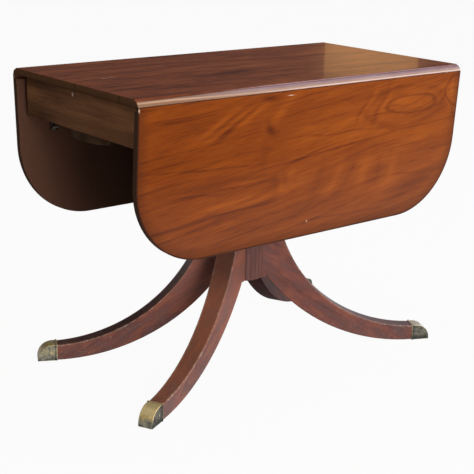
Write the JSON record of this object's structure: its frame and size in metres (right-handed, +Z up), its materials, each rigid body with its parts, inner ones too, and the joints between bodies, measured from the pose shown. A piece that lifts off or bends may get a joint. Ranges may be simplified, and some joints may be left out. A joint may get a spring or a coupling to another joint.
{
  "type": "drop-leaf pedestal table",
  "caption": "Drop-leaf table with a rectangular top, hinged leaves with rounded corners on rule joints, and a reeded pedestal on sabre legs with brass toe caps.",
  "frame": {"origin": "on the floor, under the middle of the top", "axes": "+X along the table's length, +Y from the front leaf to the back leaf, +Z up"},
  "size_m": [0.983, 0.521, 0.737],
  "materials": {
    "top_mahogany": "polished mahogany, worn",
    "leaf_mahogany": "polished mahogany, figured",
    "rail_mahogany": "polished mahogany, dark",
    "pedestal_mahogany": "stained mahogany, satin",
    "inner_wood": "bare secondary wood",
    "toe_brass": "cast, tarnished",
    "hinge_steel": "dulled",
    "stay_steel": "dulled",
    "sheet_iron": "blackened",
    "screw_steel": "dulled"
  },
  "bodies": {
    "table": {"fixed_top": "top_mahogany", "left_end_rail": "rail_mahogany", "right_end_rail": "rail_mahogany", "back_side_rail": "rail_mahogany", "front_side_rail": "rail_mahogany", "corner_blocks": "inner_wood", "cross_bearer": "inner_wood", "long_bearer": "inner_wood", "head_block": "inner_wood", "column": "pedestal_mahogany", "left_front_leg": "pedestal_mahogany", "left_front_toe_cap": "toe_brass", "right_front_leg": "pedestal_mahogany", "right_front_toe_cap": "toe_brass", "left_back_leg": "pedestal_mahogany", "left_back_toe_cap": "toe_brass", "right_back_leg": "pedestal_mahogany", "right_back_toe_cap": "toe_brass", "toe_cap_pins": "toe_brass", "base_plate": "sheet_iron", "back_left_hinge_top_flap": "hinge_steel", "front_right_hinge_top_flap": "hinge_steel", "back_middle_hinge_top_flap": "hinge_steel", "front_middle_hinge_top_flap": "hinge_steel", "back_right_hinge_top_flap": "hinge_steel", "front_left_hinge_top_flap": "hinge_steel", "back_hinge_pins": "hinge_steel", "front_hinge_pins": "hinge_steel", "back_left_stay_bracket": "stay_steel", "front_right_stay_bracket": "stay_steel", "back_right_stay_bracket": "stay_steel", "front_left_stay_bracket": "stay_steel", "stay_rivets": "stay_steel", "hinge_screws": "screw_steel", "stay_bracket_screws": "screw_steel", "top_screws": "screw_steel", "bearer_screws": "screw_steel", "head_block_screws": "screw_steel", "base_plate_screws": "screw_steel"},
    "back_leaf": {"back_leaf": "leaf_mahogany", "back_left_hinge_leaf_flap": "hinge_steel", "back_middle_hinge_leaf_flap": "hinge_steel", "back_right_hinge_leaf_flap": "hinge_steel", "back_left_stay_track": "stay_steel", "back_right_stay_track": "stay_steel", "back_leaf_screws": "screw_steel"},
    "front_leaf": {"front_leaf": "leaf_mahogany", "front_right_hinge_leaf_flap": "hinge_steel", "front_middle_hinge_leaf_flap": "hinge_steel", "front_left_hinge_leaf_flap": "hinge_steel", "front_right_stay_track": "stay_steel", "front_left_stay_track": "stay_steel", "front_leaf_screws": "screw_steel"},
    "back_left_stay": {"back_left_stay_arm": "stay_steel"},
    "front_right_stay": {"front_right_stay_arm": "stay_steel"},
    "back_right_stay": {"back_right_stay_arm": "stay_steel"},
    "front_left_stay": {"front_left_stay_arm": "stay_steel"}
  },
  "joints": [
    {"name": "front_leaf_fold", "type": "hinge", "parent": "table", "child": "front_leaf", "pos_m": [0, -0.2465, 0.7229], "axis": [-1, 0, 0], "range_deg": [0, 92.9]},
    {"name": "front_left_stay_swing", "type": "hinge", "parent": "table", "child": "front_left_stay", "pos_m": [-0.4, -0.23618, 0.6689], "axis": [-1, 0, 0], "range_deg": [0, 129.66]},
    {"name": "front_right_stay_swing", "type": "hinge", "parent": "table", "child": "front_right_stay", "pos_m": [0.4, -0.23618, 0.6689], "axis": [-1, 0, 0], "range_deg": [0, 129.66]},
    {"name": "back_leaf_fold", "type": "hinge", "parent": "table", "child": "back_leaf", "pos_m": [0, 0.2465, 0.7229], "axis": [1, 0, 0], "range_deg": [0, 92.9]},
    {"name": "back_left_stay_swing", "type": "hinge", "parent": "table", "child": "back_left_stay", "pos_m": [-0.4, 0.23618, 0.6689], "axis": [1, 0, 0], "range_deg": [0, 129.66]},
    {"name": "back_right_stay_swing", "type": "hinge", "parent": "table", "child": "back_right_stay", "pos_m": [0.4, 0.23618, 0.6689], "axis": [1, 0, 0], "range_deg": [0, 129.66]}
  ],
  "couplings": [
    {"joint": "front_left_stay_swing", "follows": "front_leaf_fold", "ratio": 1.3956},
    {"joint": "front_right_stay_swing", "follows": "front_leaf_fold", "ratio": 1.3956},
    {"joint": "back_left_stay_swing", "follows": "back_leaf_fold", "ratio": 1.3956},
    {"joint": "back_right_stay_swing", "follows": "back_leaf_fold", "ratio": 1.3956}
  ]
}
